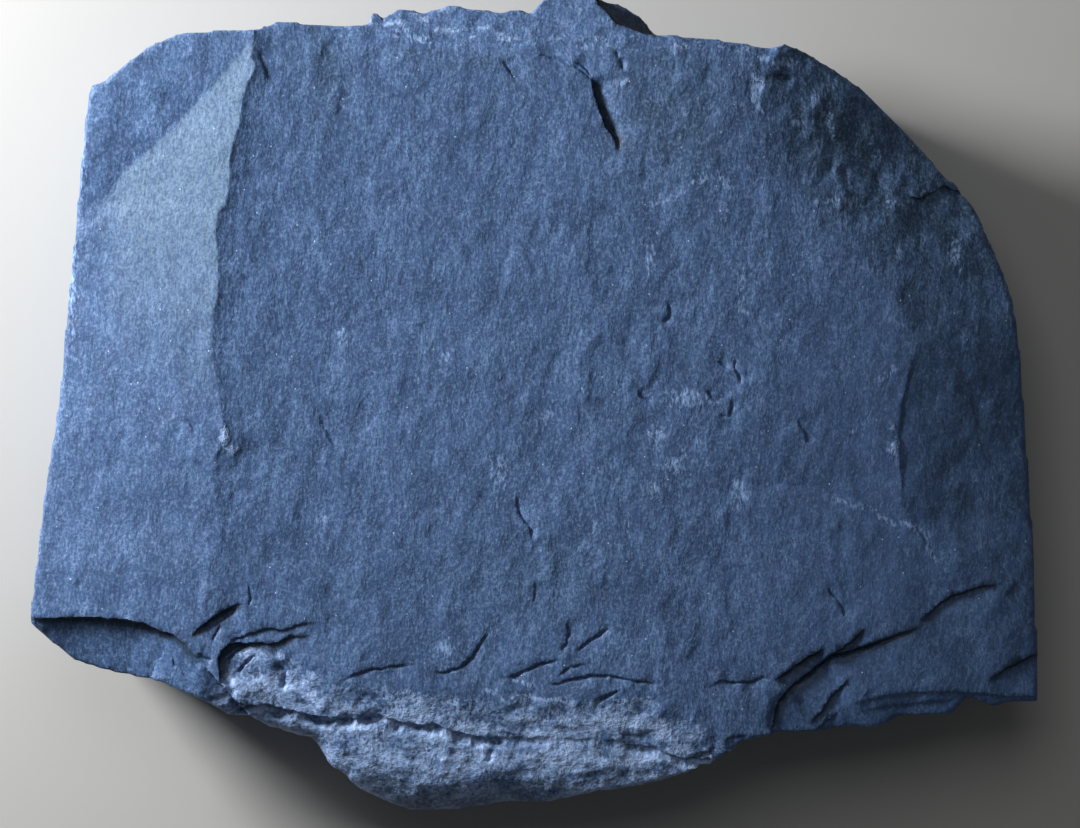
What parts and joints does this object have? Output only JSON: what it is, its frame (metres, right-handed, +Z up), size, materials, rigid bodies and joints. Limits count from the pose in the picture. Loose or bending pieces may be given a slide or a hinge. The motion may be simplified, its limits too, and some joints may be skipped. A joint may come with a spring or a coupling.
{
  "type": "slate slab",
  "caption": "Broken slab of blue-grey slate lying cleavage face up, with stepped edges, a raised facet along one side and a granular hackly break along another.",
  "frame": {"origin": "under the middle of the slab's box, on the plane that its flat underside rests on", "axes": "+Z up out of the cleavage face, +X along the slab's longer side away from the raised facet, +Y up the face away from the hackly break"},
  "size_m": [0.1213, 0.0982, 0.0232],
  "materials": {
    "slate": "satin"
  },
  "bodies": {
    "root": {"slate_slab": "slate"}
  },
  "joints": []
}
